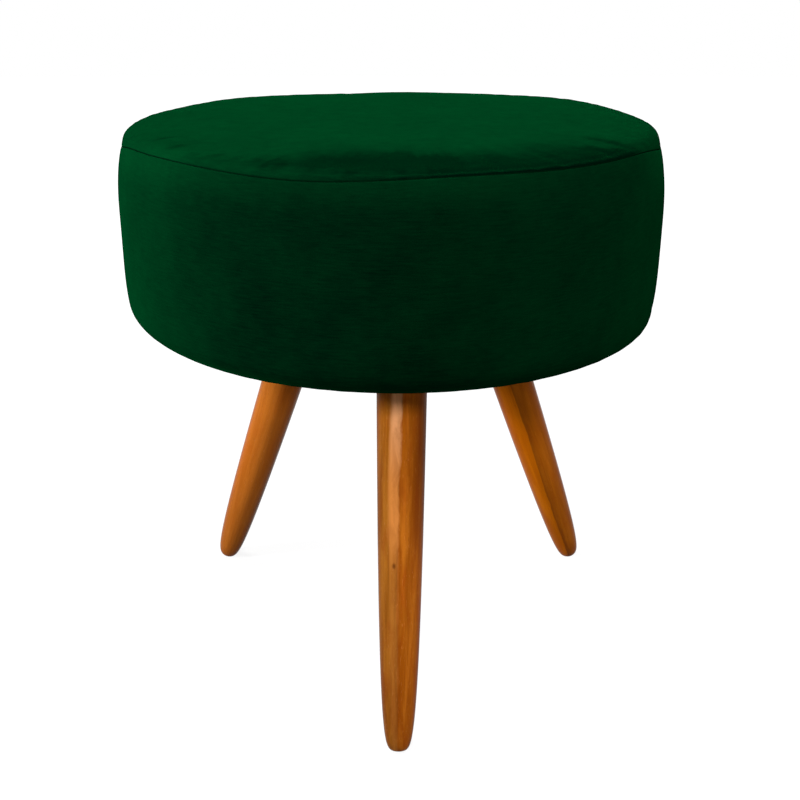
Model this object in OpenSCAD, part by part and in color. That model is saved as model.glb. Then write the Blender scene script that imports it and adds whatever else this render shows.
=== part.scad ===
// Round upholstered stool: a velvet drum on three splayed, turned wooden legs.
// The origin is on the floor under the middle of the drum, +Z is up and one leg points along -Y.

/* [Drum] */
// Diameter of the upholstered drum at its widest ring
drum_d = 400; // [360:1:440]
// Height from the underside of the drum to the top seam
drum_h = 139.6; // [125:0.1:160]
// Height of the widest ring above the underside
belly_h = 78.8; // [60:0.1:95]
// How far the seam ring is drawn in from the widest ring
seam_in = 9.2; // [4:0.1:14]
// How far the side is drawn in above the bottom corner
waist_in = 1.3; // [0.4:0.1:4]
// Rise of the crowned top over its seam ring
crown_h = 5.6; // [2:0.1:14]
// Depth of the groove that the seam pulls into the cover
seam_dip = 0.8; // [0.3:0.1:1.6]
// Width over which the cover rolls into the seam, on each side
seam_roll = 6; // [3:0.5:10]

/* [Cover and padding] */
// Thickness of the velvet
cover_t = 1.2; // [0.8:0.1:1.6]
// Width of velvet that is folded down inside the top seam
seam_allowance = 10; // [6:0.5:14]
// Width of velvet that is turned under the base board
hem_w = 28; // [22:1:32]
// Thickness of the seat foam in the middle
top_foam_t = 50; // [35:1:60]
// Thickness of the side foam at the widest ring, which also rounds the bottom corner
side_foam_t = 19.8; // [14:0.1:24]
// Thickness of the nonwoven dust cover
dust_t = 0.6; // [0.3:0.1:1]
// How far the edge of the dust cover lies inside the soft corner
dust_in = 6.7; // [3:0.1:9]

/* [Inner drum] */
// Thickness of the two round boards
board_t = 15; // [12:0.5:18]
// Thickness of the bent hardboard wall
wall_t = 3; // [2.5:0.1:4]
// Gap where the ends of the bent wall meet at the back
wall_joint = 1.5; // [0.5:0.1:4]
// Width of a frame post along the rim
post_w = 45; // [35:1:55]
// Thickness of a frame post, towards the middle
post_t = 20; // [16:1:26]
// Distance of the middle of the posts from the edge of the boards
post_in = 25.3; // [24:0.1:40]

/* [Legs] */
// Length of a leg along its axis, from the tip to the plate
leg_l = 284; // [240:1:330]
// Diameter of a leg at its top
leg_top_d = 37; // [30:0.2:38]
// Angle of a leg from upright
leg_splay = 21.2; // [12:0.2:24]
// Distance of the top of a leg's axis from the edge of the base board
leg_in = 90.8; // [83:0.1:100]
// Width of the small bevel round the top of a leg
leg_bevel = 1; // [0.5:0.1:2]
// Height of the axis' end over the floor, once the foot is trimmed level
sole_trim = 0.4; // [0.1:0.1:1.2]

/* [Leg plates] */
// Width and length of the flange
flange_w = 66; // [60:1:72]
// Radius of the flange's corners
flange_corner_r = 7; // [4:0.5:9]
// Thickness of the pressed steel
plate_t = 2; // [1.5:0.1:2.5]
// Radius of the slanted seat for the leg
boss_r = 20; // [19.5:0.1:22]
// Outer radius of the bend between the seat and the boss wall
boss_bend_r = 3; // [2.6:0.1:4]
// How much wider the boss wall gets for each millimetre towards the flange, as a share
boss_draft_share = 0.1; // [0.04:0.01:0.16]
// Height of the boss at its shallow side, under the flange
boss_lip = 2; // [1.5:0.1:3]
// Distance between the screw holes of the flange
flange_hole_pitch = 50; // [46:0.5:53]

/* [Hardware] */
// Diameter of the hanger bolts
bolt_d = 8; // [6:0.5:10]
// Length of a hanger bolt above the seat, through the nut
bolt_top_l = 16; // [11:0.5:20]
// Length of a hanger bolt in the leg
bolt_wood_l = 32; // [25:0.5:45]
// Width of a nut across its flats
nut_af = 13; // [12:0.5:15]
// Height of a nut
nut_h = 6; // [4:0.1:6.5]
// Diameter of the clearance hole over each bolt
bolt_well_d = 20; // [18:0.5:24]
// Diameter of the wood screws
screw_d = 4; // [3:0.1:4.5]
// Diameter of the screw heads
screw_head_d = 8; // [6:0.1:9]
// Length of a plate screw under its head
plate_screw_l = 15; // [11:0.5:16]
// Length of a frame screw, with its sunk head
frame_screw_l = 38; // [32:0.5:40]
// Width of a staple's crown
staple_w = 12; // [8:0.5:14]
// Length of a staple's legs
staple_l = 8; // [5:0.5:10]
// Width of the staple wire
staple_wire_w = 1.2; // [0.8:0.1:1.6]
// Thickness of the staple wire
staple_wire_t = 0.6; // [0.4:0.05:0.8]

/* [Hidden] */
// Clearance between the padding and its cover
soft_gap = 0.3;
// Clearance between glued faces
glue_gap = 0.2;
// Clearance between the faces that the top seam holds together
sewn_gap = 0.1;
// Clearance between a screw or a bolt and the wood or the nut that it holds in
thread_gap = 0.05;
// Clearance between a screw or a bolt and the hole that it passes through
hole_gap = 0.3;
// How far a cut runs past the face that it opens
overrun = 1;

// Shapes of the outlines
crown_power = 3.8;
shoulder_power = 2.5;
waist_power = 4;
corner_power = 2.33;
leg_power = 0.19;
leg_spacing_power = 3;
outline_steps = 14;
bend_steps = 6;
leg_steps = 26;

// Places round the drum, in degrees from +X
front_az = -90;
right_az = 30;
left_az = 150;
back_az = 90;
post_n = 6;
post_first_az = 0;
hem_staple_n = 36;
dust_staple_n = 18;
wall_staple_n = 12;

// Sizes of the screws and the staples beyond those above
screw_tip_l = screw_d;
screw_head_h = (screw_head_d - screw_d) / 2;
screw_sink = 0.3;
pan_head_h = 2.6;
pan_crown_h = 0.9;
recess_w = 0.9;
recess_l = 4.4;
recess_depth = 1.4;
frame_screw_shift = post_w / 4;
bolt_tip_l = 6;
bolt_bevel = 0.8;
staple_edge = 5;
hem_staple_in = 14;

// Heights, from the floor up
seat_z = sole_trim + leg_l * cos(leg_splay);
seat_drop = plate_t + boss_lip + boss_r * sin(leg_splay);
plate_top_z = seat_z + seat_drop;
board_z = plate_top_z + dust_t;
hem_z = board_z - cover_t;
belly_z = hem_z + belly_h;
seam_z = hem_z + drum_h;
top_z = seam_z + crown_h + seam_dip;
seat_board_top_z = top_z - cover_t - soft_gap - top_foam_t;
seat_board_z = seat_board_top_z - board_t;
base_top_z = board_z + board_t;
post_h = seat_board_z - base_top_z;
side_foam_z = seam_z - seam_allowance - soft_gap;

// Radii, from the outside in
drum_r = drum_d / 2;
seam_r = drum_r - seam_in;
top_edge_r = seam_r - sewn_gap;
waist_r = drum_r - waist_in;
foam_lip_r = top_edge_r - cover_t - soft_gap;
foam_in_r = drum_r - cover_t - soft_gap - side_foam_t;
hem_start_r = foam_in_r;
corner_r = waist_r - hem_start_r;
hem_r = hem_start_r - hem_w;
top_foam_r = foam_in_r - glue_gap;
wall_out_r = foam_in_r - glue_gap;
wall_in_r = wall_out_r - wall_t;
board_r = wall_in_r - glue_gap;
post_ring_r = board_r - post_in;
dust_r = hem_start_r - dust_in;
hem_staple_r = hem_start_r - hem_staple_in;
dust_staple_r = dust_r - staple_edge;

// Legs and their plates
leg_r = leg_top_d / 2;
leg_ring_r = board_r - leg_in;
flange_r = leg_ring_r - seat_drop * tan(leg_splay) / 2;
well_r = leg_ring_r - seat_drop * tan(leg_splay);
boss_h = (seat_drop + boss_r) / cos(leg_splay);

// Outlines of the cover, as points [radius, height]

// How far a place is into the roll beside the seam: 0 where it starts, 1 at the seam
function roll(distance) = max(0, 1 - distance / seam_roll);

// Height of the crowned top at radius r
function crown_z(r) = seam_z + crown_h * (1 - pow(r / seam_r, crown_power))
    + seam_dip * (1 - pow(roll(seam_r - r), 2));

// Radius of the side at height z, from the seam down to the bottom corner
function shoulder_r(z) = drum_r
    - (seam_in - seam_dip) * pow((z - belly_z) / (seam_z - belly_z), shoulder_power)
    - seam_dip * pow(roll(seam_z - z), 2);
function waist(z) = drum_r
    - waist_in * pow((belly_z - z) / (belly_z - hem_z - corner_r), waist_power);
function side_r(z) = z > belly_z ? shoulder_r(z) : waist(z);

// A rounded corner of size corner_r, at angle a from upright to flat
function corner(a) = [
    hem_start_r + corner_r * pow(max(0, cos(a)), 2 / corner_power),
    hem_z + corner_r * (1 - pow(max(0, sin(a)), 2 / corner_power))
];

// From the middle of the top out to the seam
top_line = concat(
    [for (i = [0 : outline_steps - 1])
        let (r = (top_edge_r - seam_roll) * sqrt(i / outline_steps)) [r, crown_z(r)]],
    [for (i = [0 : bend_steps])
        let (r = top_edge_r - seam_roll * (1 - i / bend_steps)) [r, crown_z(r)]]
);

// From the seam down the side, round the corner and onto the underside
side_line = concat(
    [for (i = [0 : bend_steps - 1])
        let (z = seam_z - seam_roll * i / bend_steps) [side_r(z), z]],
    [for (i = [0 : outline_steps - 1])
        let (z = seam_z - seam_roll - (drum_h - seam_roll - corner_r) * i / outline_steps)
            [side_r(z), z]],
    [for (i = [0 : outline_steps]) corner(90 * i / outline_steps)]
);

// A line moved to its right-hand side by a distance, square to itself at every point
function moved(line, distance) = [for (i = [0 : len(line) - 1])
    let (
        before = line[max(0, i - 1)],
        after = line[min(len(line) - 1, i + 1)],
        run = after - before,
        place = line[i] + distance * [run[1], -run[0]] / norm(run)
    ) [max(0, place[0]), place[1]]];
function reversed(line) = [for (i = [len(line) - 1 : -1 : 0]) line[i]];
function last(line) = line[len(line) - 1];

// A rectangle from radius r0 to r1 and from height z0 to z1
module span(r0, r1, z0, z1) translate([r0, z0]) square([r1 - r0, z1 - z0]);

// The inner faces of the cover, as far as the seam edges that are folded down behind them
top_inner_line = [for (p = moved(top_line, cover_t)) if (p[0] < top_edge_r - cover_t) p];
side_inner_line = [for (p = reversed(moved(side_line, cover_t))) if (p[1] < side_foam_z) p];

// Height of the padding's top at radius r, and the padding's outer face from the bottom up
function foam_top_z(r) = crown_z(r) - cover_t - soft_gap;
side_foam_line = [for (p = reversed(moved(side_line, cover_t + soft_gap)))
    if (p[0] > foam_in_r && p[1] < side_foam_z - soft_gap) p];

// Places

// Puts a child at the seat of the leg at azimuth az, with +Z up along the leg's axis
module at_seat(az) rotate([0, 0, az]) translate([leg_ring_r, 0, seat_z])
    rotate([0, -leg_splay, 0]) children();

// Puts a child on a ring, facing outwards, at a height
module on_ring(az, r, z) rotate([0, 0, az]) translate([r, 0, z]) children();

// One child at each leg
module each_leg() for (az = [front_az, right_az, left_az]) rotate([0, 0, az]) children();

// Fasteners

// A countersunk wood screw, with its head's face at z = 0 and its point up
module sunk_screw() rotate_extrude($fn = 32) polygon([
    [0, 0], [screw_head_d / 2, 0], [screw_d / 2, screw_head_h],
    [screw_d / 2, frame_screw_l - screw_tip_l], [0, frame_screw_l]
]);

// The hole that it makes and sinks into
module sunk_hole() rotate_extrude($fn = 32) polygon([
    [0, -overrun], [screw_head_d / 2 + thread_gap, -overrun], [screw_head_d / 2 + thread_gap, 0],
    [screw_d / 2 + thread_gap, screw_head_h],
    [screw_d / 2 + thread_gap, frame_screw_l - screw_tip_l], [0, frame_screw_l + thread_gap]
]);

// A crossed recess in a screw's head, cut from z = 0 upwards
module recess(depth) for (turn = [0, 90]) rotate([0, 0, turn])
    translate([-recess_l / 2, -recess_w / 2, -overrun]) cube([recess_l, recess_w, depth + overrun]);

// A pan-headed wood screw, with the underside of its head at z = 0 and its point up
module pan_screw() rotate_extrude($fn = 32) polygon([
    [0, -pan_head_h], [screw_head_d / 4, -pan_head_h + pan_crown_h / 4],
    [screw_head_d / 2, -pan_head_h + pan_crown_h], [screw_head_d / 2, 0], [screw_d / 2, 0],
    [screw_d / 2, plate_screw_l - screw_tip_l], [0, plate_screw_l]
]);

// The hole that a pan-headed screw's thread makes
module thread_hole(length) translate([0, 0, -overrun])
    cylinder(h = length + overrun + thread_gap, r = screw_d / 2 + thread_gap, $fn = 32);

// A staple with its crown's outer face at z = 0, lying along Y, and its legs up
module staple() translate([staple_wire_w / 2, 0, 0]) rotate([90, 0, -90])
    linear_extrude(height = staple_wire_w) polygon([
        [-staple_w / 2, 0], [staple_w / 2, 0], [staple_w / 2, staple_l],
        [staple_w / 2 - staple_wire_t, staple_l], [staple_w / 2 - staple_wire_t, staple_wire_t],
        [-staple_w / 2 + staple_wire_t, staple_wire_t], [-staple_w / 2 + staple_wire_t, staple_l],
        [-staple_w / 2, staple_l]
    ]);

module hem_staple_set() for (i = [0 : hem_staple_n - 1])
    on_ring((i + 1 / 2) * 360 / hem_staple_n, hem_staple_r, hem_z) staple();

module dust_staple_set() for (i = [0 : dust_staple_n - 1])
    on_ring(i * 360 / dust_staple_n, dust_staple_r, hem_z - dust_t - staple_wire_t) staple();

// The wall is stapled into the edges of both boards
module wall_staple_ring(z) for (i = [0 : wall_staple_n - 1])
    on_ring((i + 1 / 2) * 360 / wall_staple_n, wall_out_r, z) rotate([0, -90, 0]) staple();
module wall_staple_set() for (z = [board_z + board_t / 2, seat_board_z + board_t / 2])
    wall_staple_ring(z);

// Screws into the posts: from below on one side of each post, from above on the other
module base_screw_places() for (i = [0 : post_n - 1])
    on_ring(post_first_az + i * 360 / post_n, post_ring_r, board_z + screw_sink)
        translate([0, -frame_screw_shift, 0]) children();
module seat_screw_places() for (i = [0 : post_n - 1])
    on_ring(post_first_az + i * 360 / post_n, post_ring_r, seat_board_top_z - screw_sink)
        translate([0, frame_screw_shift, 0]) mirror([0, 0, 1]) children();

// Screws through the flanges, from below
module flange_corners() for (x = [-1, 1], y = [-1, 1])
    translate([flange_r + x * flange_hole_pitch / 2, y * flange_hole_pitch / 2, 0]) children();
module plate_screw_places() each_leg() flange_corners()
    translate([0, 0, plate_top_z - plate_t]) children();

// Upholstery

// The top panel, with its edge folded down inside the seam
module top_cover() color("#024020") rotate_extrude($fn = 180) polygon(concat(
    top_line,
    [[top_edge_r, seam_z - seam_allowance], [top_edge_r - cover_t, seam_z - seam_allowance],
        [top_edge_r - cover_t, last(top_inner_line)[1]]],
    reversed(top_inner_line)
));

// The band round the side: its hem lies under the base board, its upper edge is folded down
// behind it
module side_band() color("#023a1c") difference() {
    rotate_extrude($fn = 180) polygon(concat(
        side_line,
        [[hem_r, hem_z], [hem_r, hem_z + cover_t]],
        side_inner_line,
        [[side_r(side_foam_z) - cover_t, side_foam_z],
            [seam_r + cover_t, seam_z - seam_allowance / 2],
            [seam_r + cover_t, seam_z - seam_allowance], [seam_r, seam_z - seam_allowance]]
    ));
    hem_staple_set();
    dust_staple_set();
}

module top_foam() color("#e8e2c8") rotate_extrude($fn = 120) polygon(concat(
    [[0, seat_board_top_z], [top_foam_r, seat_board_top_z], [top_foam_r, foam_top_z(top_foam_r)]],
    reversed([for (p = top_line) if (p[0] < top_foam_r) [p[0], foam_top_z(p[0])]])
));

// The side foam parts at its upper edge round the folded edges of the seam
module side_foam() color("#e3dcc0") rotate_extrude($fn = 120) polygon(concat(
    [[foam_in_r, side_foam_line[0][1]]],
    side_foam_line,
    [[side_r(side_foam_z) - cover_t - soft_gap, side_foam_z], [foam_lip_r, side_foam_z],
        [foam_lip_r, foam_top_z(foam_lip_r)], [foam_in_r, foam_top_z(foam_in_r)]]
));

// The dust cover lies on the base board in the middle and over the edge of the hem
module dust_cover() color("#26262a") difference() {
    rotate_extrude($fn = 120) polygon([
        [0, board_z - dust_t], [hem_r - dust_t - soft_gap, board_z - dust_t],
        [hem_r - soft_gap, hem_z - dust_t], [dust_r, hem_z - dust_t], [dust_r, hem_z],
        [hem_r - soft_gap, hem_z], [hem_r - soft_gap, board_z], [0, board_z]
    ]);
    each_leg() translate([well_r, 0, hem_z - overrun])
        cylinder(h = cover_t + overrun * 2, d = bolt_well_d, $fn = 48);
    plate_screw_places() translate([0, 0, plate_t]) thread_hole(dust_t);
    dust_staple_set();
}

// Inner drum

module wall_panel() color("#a07a4c") difference() {
    rotate_extrude($fn = 120) span(wall_in_r, wall_out_r, board_z, seat_board_top_z);
    rotate([0, 0, back_az]) translate([0, -wall_joint / 2, board_z - overrun])
        cube([drum_r, wall_joint, seat_board_top_z - board_z + overrun * 2]);
    wall_staple_set();
}

module board(z) translate([0, 0, z]) cylinder(h = board_t, r = board_r, $fn = 120);

module seat_board() color("#c39a63") difference() {
    board(seat_board_z);
    seat_screw_places() sunk_hole();
    wall_staple_ring(seat_board_z + board_t / 2);
}

module base_board() color("#bd945e") difference() {
    board(board_z);
    each_leg() translate([well_r, 0, board_z - overrun])
        cylinder(h = board_t + overrun * 2, d = bolt_well_d, $fn = 48);
    plate_screw_places() thread_hole(plate_screw_l);
    base_screw_places() sunk_hole();
    wall_staple_ring(board_z + board_t / 2);
    hem_staple_set();
    dust_staple_set();
}

module post(i) color("#d9b780") difference() {
    on_ring(post_first_az + (i - 1) * 360 / post_n, post_ring_r, base_top_z)
        translate([-post_t / 2, -post_w / 2, 0]) cube([post_t, post_w, post_h]);
    base_screw_places() sunk_hole();
    seat_screw_places() sunk_hole();
}

module frame_screws() color("#b9a468") {
    base_screw_places() difference() {
        sunk_screw();
        recess(recess_depth);
    }
    seat_screw_places() difference() {
        sunk_screw();
        recess(recess_depth);
    }
}

module wall_staples() color("#c4c6c9") wall_staple_set();

module hem_staples() color("#c4c6c9") hem_staple_set();

module dust_staples() color("#c4c6c9") dust_staple_set();

// Leg plates

// Outline of the pressed boss round the leg's axis, a distance inside its outer face
function boss_outline(inset) = concat(
    [[0, inset]],
    [for (i = [0 : bend_steps])
        let (a = (90 - atan(boss_draft_share)) * i / bend_steps)
            [boss_r - boss_bend_r + (boss_bend_r - inset) * sin(a),
                boss_bend_r - (boss_bend_r - inset) * cos(a)]],
    [[boss_r - inset + boss_draft_share * boss_h, boss_h], [0, boss_h]]
);

module boss(inset) at_seat(0) rotate_extrude($fn = 96) polygon(boss_outline(inset));

// A square flange with round corners, its upper face against the dust cover
module flange() translate([flange_r, 0, plate_top_z - plate_t]) union() {
    inner_w = flange_w - flange_corner_r * 2;
    translate([-flange_w / 2, -inner_w / 2, 0]) cube([flange_w, inner_w, plate_t]);
    translate([-inner_w / 2, -flange_w / 2, 0]) cube([inner_w, flange_w, plate_t]);
    for (x = [-1, 1], y = [-1, 1]) translate([x * inner_w / 2, y * inner_w / 2, 0])
        cylinder(h = plate_t, r = flange_corner_r, $fn = 48);
}

// All that lies under the flange's upper face
module below_flange() translate([flange_r - flange_w, -flange_w, seat_z - flange_w])
    cube([flange_w * 2, flange_w * 2, plate_top_z - seat_z + flange_w]);

module leg_plate(az) color("#b7bbc0") rotate([0, 0, az]) difference() {
    union() {
        flange();
        intersection() {
            boss(0);
            below_flange();
        }
    }
    boss(plate_t);
    at_seat(0) translate([0, 0, -overrun])
        cylinder(h = plate_t + overrun * 2, r = bolt_d / 2 + hole_gap, $fn = 48);
    flange_corners() translate([0, 0, plate_top_z - plate_t - overrun])
        cylinder(h = plate_t + overrun * 2, r = screw_d / 2 + hole_gap, $fn = 32);
}

module leg_plate_front() leg_plate(front_az);
module leg_plate_right() leg_plate(right_az);
module leg_plate_left() leg_plate(left_az);

// A hexagon nut welded on the inside of each seat
module plate_nuts() color("#aeb2b6") for (az = [front_az, right_az, left_az]) at_seat(az)
    translate([0, 0, plate_t]) difference() {
        cylinder(h = nut_h, d = nut_af / cos(180 / 6), $fn = 6);
        translate([0, 0, -overrun])
            cylinder(h = nut_h + overrun * 2, r = bolt_d / 2 + thread_gap, $fn = 48);
    }

module plate_screws() color("#c9ccd0") plate_screw_places() difference() {
    pan_screw();
    translate([0, 0, -pan_head_h]) recess(recess_depth);
}

// A headless bolt: a machine thread above the seat and a pointed wood thread in the leg
module hanger_bolt_profile(gap) polygon([
    [0, -bolt_wood_l - gap], [gap, -bolt_wood_l - gap], [bolt_d / 2 + gap, -bolt_wood_l + bolt_tip_l],
    [bolt_d / 2 + gap, bolt_top_l - bolt_bevel], [bolt_d / 2 - bolt_bevel, bolt_top_l],
    [0, bolt_top_l]
]);

module hanger_bolts() color("#d3b96a") for (az = [front_az, right_az, left_az]) at_seat(az)
    rotate_extrude($fn = 48) hanger_bolt_profile(0);

// Legs

// Radius of a leg at a distance from its tip: a full, slowly thinning shaft with a blunt round tip
function leg_r_at(s) = leg_r * pow(s / leg_l, leg_power);

leg_outline = concat(
    [for (i = [0 : leg_steps])
        let (s = (leg_l - leg_bevel) * pow(i / leg_steps, leg_spacing_power))
            [leg_r_at(s), s - leg_l]],
    [[leg_r - leg_bevel, 0], [0, 0]]
);

module leg(az) color("#a8641f") difference() {
    at_seat(az) difference() {
        rotate_extrude($fn = 96) polygon(leg_outline);
        rotate_extrude($fn = 48) hanger_bolt_profile(thread_gap);
    }
    // The foot is trimmed level with the floor
    rotate([0, 0, az]) translate([leg_ring_r, -leg_top_d, -leg_top_d])
        cube([leg_l, leg_top_d * 2, leg_top_d]);
}

module leg_front() leg(front_az);
module leg_right() leg(right_az);
module leg_left() leg(left_az);

top_cover();
side_band();
top_foam();
side_foam();
wall_panel();
seat_board();
base_board();
post(1);  // post_1
post(2);  // post_2
post(3);  // post_3
post(4);  // post_4
post(5);  // post_5
post(6);  // post_6
frame_screws();
wall_staples();
hem_staples();
dust_cover();
dust_staples();
leg_plate_front();
leg_plate_right();
leg_plate_left();
plate_nuts();
plate_screws();
hanger_bolts();
leg_front();
leg_right();
leg_left();
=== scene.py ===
"""A round velvet stool on three turned, lacquered legs: its looks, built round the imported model."""
import math

import bmesh
import bpy
import numpy as np
from mathutils import Matrix, Vector


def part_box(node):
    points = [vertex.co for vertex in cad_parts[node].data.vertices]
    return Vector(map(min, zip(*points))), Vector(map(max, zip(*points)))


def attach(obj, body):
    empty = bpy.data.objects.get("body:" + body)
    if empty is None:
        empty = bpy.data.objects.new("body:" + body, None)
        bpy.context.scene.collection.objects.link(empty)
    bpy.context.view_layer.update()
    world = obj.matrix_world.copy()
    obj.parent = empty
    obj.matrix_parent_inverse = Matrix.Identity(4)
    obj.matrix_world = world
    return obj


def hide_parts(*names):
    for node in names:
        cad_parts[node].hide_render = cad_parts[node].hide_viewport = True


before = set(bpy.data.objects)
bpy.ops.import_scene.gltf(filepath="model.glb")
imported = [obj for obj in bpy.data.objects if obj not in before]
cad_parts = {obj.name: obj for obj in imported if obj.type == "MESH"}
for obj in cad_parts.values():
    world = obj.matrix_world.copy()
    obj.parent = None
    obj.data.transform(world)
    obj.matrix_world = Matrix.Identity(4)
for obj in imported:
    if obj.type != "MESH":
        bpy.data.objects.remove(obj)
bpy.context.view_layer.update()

# Sizes of the drum, in metres, as its CAD pieces have them
DRUM_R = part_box("side_band")[1].x
HEM_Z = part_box("side_band")[0].z
BOARD_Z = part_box("base_board")[0].z
SEAT_BOARD_TOP_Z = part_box("seat_board")[1].z
DUST_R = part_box("dust_cover")[1].x
COVER_T = 0.0012
SOFT_GAP = 0.0003
SIDE_PAD_T = 0.0198
DUST_T = 0.0006
HEM_W = 0.028
HEM_START_R = DRUM_R - COVER_T - SOFT_GAP - SIDE_PAD_T
HEM_R = HEM_START_R - HEM_W

# The drum's outline: widest at the belly, and drawn in below it and towards the seam. The powers bend
# its curves, and its corners are rounded over EDGE_BLUR.
BELLY_H = 0.0788
WAIST_IN = 0.0013
WAIST_POWER = 4
SEAM_IN = 0.0092
SHOULDER_POWER = 2.5
CORNER_POWER = 2.33
CORNER_Z = 0.4154
SEAM_DIP = 0.0008
CROWN_H = 0.0056
CROWN_POWER = 3.8
EDGE_BLUR = 0.0036
OUTLINE_STEP = 0.00025
CROWN_POINTS = 700
SIDE_POINTS = 300
CORNER_POINTS = 200
HEM_POINTS = 100

# Bends round the drum, as (direction in degrees, height, half widths in degrees before and after it):
# how far the edge of the seat stands off its mean height, and how far the seam does
EDGE_BENDS = [(90, -0.0026, 36, 36), (139, 0.0010, 16, 16), (41, 0.0010, 16, 16)]
SEAM_BENDS = [(-172, -0.0075, 56, 12), (-136, 0.0008, 12, 12), (-106, -0.0018, 14, 14),
              (-74, 0.0014, 16, 16), (-10, -0.0075, 14, 56)]
SEAM_MEAN_Z = 0.4123

# Between which radii and which heights the drum comes to follow its wandering edge
LIFT_R = (0.125, 0.185)
LIFT_Z = (0.372, 0.406)

# The upholstery sits a little to the left on its frame: by how much, the heights over the hem between
# which this sets in, and the distances behind the middle between which it fades
BODY_SHIFT = -0.0053
SHIFT_RISE = (-0.002, 0.016)
SHIFT_FADE = (0.03, 0.16)

# In front the cover pulls the rim of the seat down: middle and half width in degrees, the shares of
# that width between which the pull fades, and its depth, width and start in metres
PULL_AZ = -76
PULL_SPAN = 50
PULL_FADE = (0.6, 1.3)
RIM_DROP = 0.0024
RIM_W = 0.060
RIM_START = 0.008

# The seam: depth and width of its crease and of a wider hollow, the width of the painted shade along
# it, the length of the folded edges behind it, and half the gap between them
SEAM_GROOVE = 0.0011
CREASE_W = 0.0013
SEAM_PULL = 0.0004
PULL_W = 0.006
SEAM_SHADE_W = 0.0004
FLAP_L = 0.0062
FLAP_GAP = 0.00005

# Relief of the cover. Noise in space is (length of its waves, number, seed), noise round the drum is
# (fewest waves in a turn, most, number, seed), and fine puckers are (height, width of zone, noise).
SWELL_H = 0.0005
SWELL_START = 0.03
TOP_SWELL = (0.11, 16, 11)
SIDE_SWELL = (0.10, 16, 21)
SIDE_RISE = (0.004, 0.03)
PUCKER_START = 0.002
TOP_PUCKERS = (0.00008, 0.009, (70, 150, 14, 12))
SIDE_PUCKERS = (0.00010, 0.010, (70, 150, 14, 22))
HEM_PUCKER_H = 0.00006
HEM_PUCKERS = (34, 90, 14, 23)
HEM_PUCKER_IN = 0.022
HEM_PUCKER_RISE = (0.002, 0.022)

# Soft pleats in the top panel, strongest in front
PLEAT_H = 0.00035
PLEAT_L = 0.022
PLEAT_START = (0.001, 0.012)
PLEATS = (26, 74, 12, 13)
BACK_PLEATS = 0.3

# The joint of the band, at the back: direction in degrees, depth and half width in metres
JOINT_AZ = 90
JOINT_H = 0.0007
JOINT_W = 0.0018

# The cloth simulation of the top panel's rim: the strip's width and grid, how far a point may move,
# where the result fades, how much wider than its place the panel is cut along the seam, the relief
# that it starts with, and how much of the result shows at the back
SETTLE_W = 0.055
SETTLE_RINGS = 28
SETTLE_CROWDING = 1.2
SETTLE_AT = SETTLE_W * np.linspace(0, 1, SETTLE_RINGS) ** SETTLE_CROWDING
SETTLE_TURN = 432
SETTLE_FRAMES = 20
SETTLE_CAP = 0.0010
SETTLE_FADE = 0.5
SPARE = 0.020
SPARE_POWER = 1.5
START_RELIEF_H = 0.00015
START_RELIEF = (40, 120, 14, 51)
BACK_SETTLED = 0.4
CLOTH = {
    "use_pressure": True, "uniform_pressure_force": 1, "quality": 6, "mass": 0.004,
    "tension_stiffness": 40, "compression_stiffness": 40, "shear_stiffness": 10,
    "bending_stiffness": 0.02,
}

# Levels of the pile: 0 looks deep and 1 looks light. The top's higher level is painted light, where
# the top catches more light than the band.
TOP_NAP_WITH_PAINTED_LIGHT = 0.24
SIDE_NAP = 0.11

# Painted shade on the top panel, as dark strokes along its rim: direction in degrees,
# distance from the seam, half its width, half its length, and how deep
PAINTED_SHADE_STROKES = [
    (-88, 0.030, 0.009, 0.013, 0.30),
    (-97, 0.022, 0.008, 0.013, 0.22),
    (-105, 0.018, 0.006, 0.010, 0.16),
    (-114, 0.014, 0.007, 0.009, 0.14),
    (-80, 0.022, 0.008, 0.012, 0.20),
    (-66, 0.016, 0.010, 0.010, 0.10),
    (-52, 0.012, 0.012, 0.007, 0.12),
    (-42, 0.014, 0.007, 0.009, 0.16),
    (-33, 0.020, 0.006, 0.012, 0.24),
    (-141, 0.014, 0.003, 0.006, 0.22),
    (-151, 0.018, 0.002, 0.006, 0.16),
]

# How the strokes break up, the painted shade of the dark zone in front (its depth, place and ends round
# the drum, width and frayed edge), and the painted shade and light beside the seam as bends round the
# drum
PAINTED_SHADE_BREAK = 0.3
PAINTED_SHADE_BREAKS = (60, 160, 16, 41)
FRONT_SHADE = 0.19
SHADE_AZ = -82
SHADE_SPAN = 44
SHADE_FADE = (0.45, 1.4)
SHADE_W = 0.062
SHADE_CORE = 0.3
SHADE_ENDS = 0.3
LEAST_SHADE = 0.05
FRAYS = [(0.004, (20, 90, 16, 42)), (0.005, (5, 16, 8, 43))]
RIM_SHADE_AND_LIGHT = [(-56, 0.14, 26, 26), (-118, -0.20, 34, 28)]
RIM_SHADE_AND_LIGHT_W = 0.011

# Painted light on the band, where it is lighter: by how much, direction in degrees, the angles in
# radians between which that fades, and the heights between which it sets in
SIDE_PAINTED_LIGHT = [
    (0.10, -115, 0.6, 1.2, (0.388, 0.408)),
    (0.17, -172, 0, 0.95, None),
    (0.05, -30, 0.3, 1.1, None),
    (0.05, -137, 0.05, 0.35, None),
    (0.03, -70, 0.05, 0.30, None),
    (0.04, -4, 0, 0.35, None),
    (0.20, -12, 0, 0.45, (0.37, 0.40)),
]
# Painted shade along the bottom of the band: how much darker, and the height over the hem it fades over
HEM_SHADE = 0.12
HEM_SHADE_H = 0.020

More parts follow.
